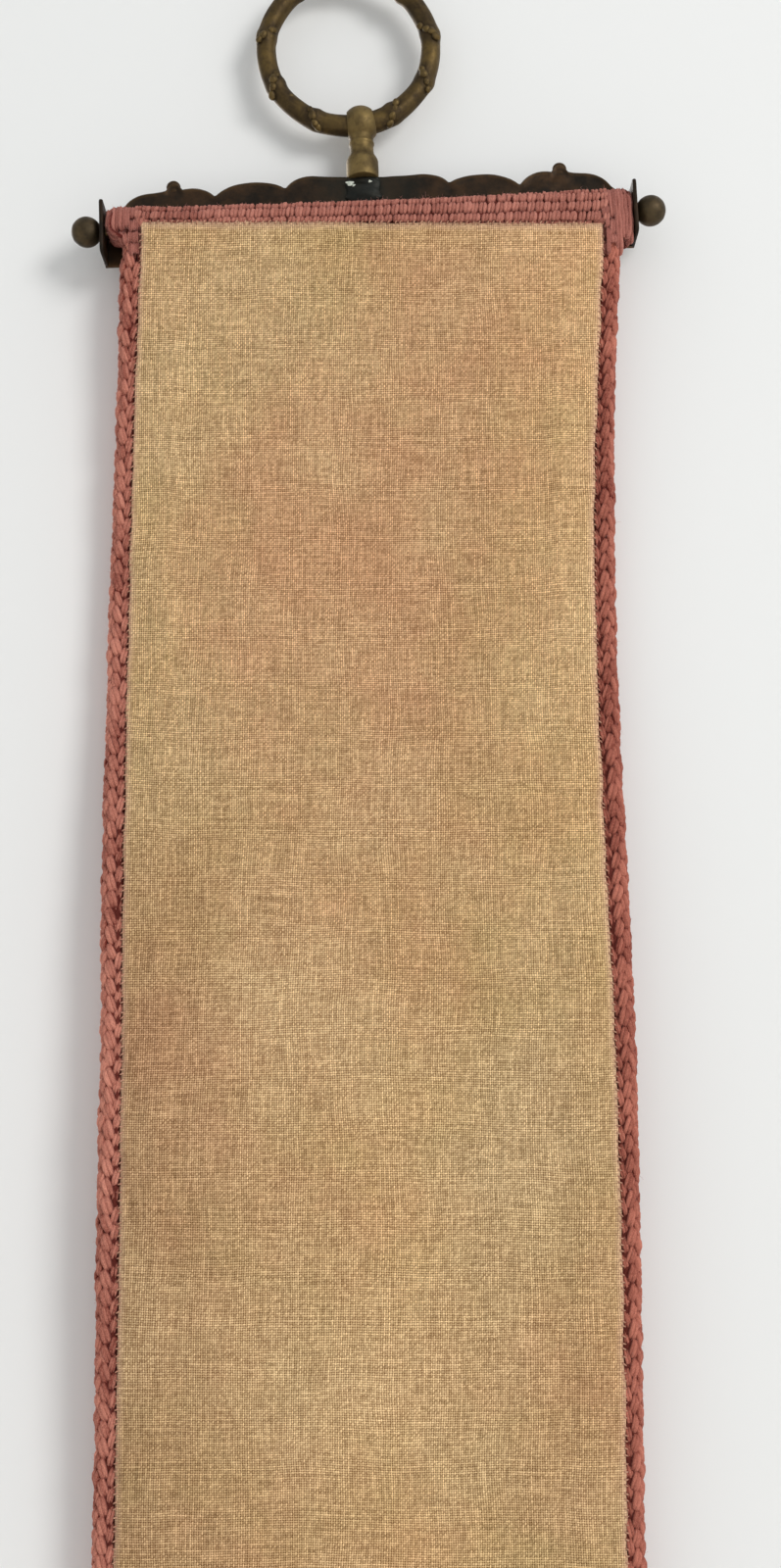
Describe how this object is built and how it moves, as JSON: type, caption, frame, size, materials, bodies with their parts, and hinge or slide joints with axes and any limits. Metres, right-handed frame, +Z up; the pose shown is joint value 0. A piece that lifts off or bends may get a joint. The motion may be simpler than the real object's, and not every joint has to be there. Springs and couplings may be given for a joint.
{
  "type": "needlepoint panel with rod hanger",
  "caption": "Long narrow needlepoint hanging, a bell pull, shown from its lined back: it folds over a rod on a scalloped metal hanger with a branch-shaped ring.",
  "frame": {"origin": "inside top of the ring, where it bears on its nail", "axes": "+Z up, along the hanging; +Y out of the worked front, towards the wall as it hangs in the picture; the lined back faces -Y; +X to the right as the lined back is seen"},
  "size_m": [0.1821, 0.0175, 0.9906],
  "materials": {
    "wool": "needlepoint wool",
    "linen": "plain weave",
    "bronze": "worn olive brown",
    "dark_bronze": "dark patina"
  },
  "bodies": {
    "root": {"needlepoint_panel": "wool", "lining": "linen", "rod": "bronze", "finial_left": "bronze", "finial_right": "bronze", "crest_plate": "dark_bronze", "ring_stud": "bronze", "ring": "bronze"}
  },
  "joints": []
}
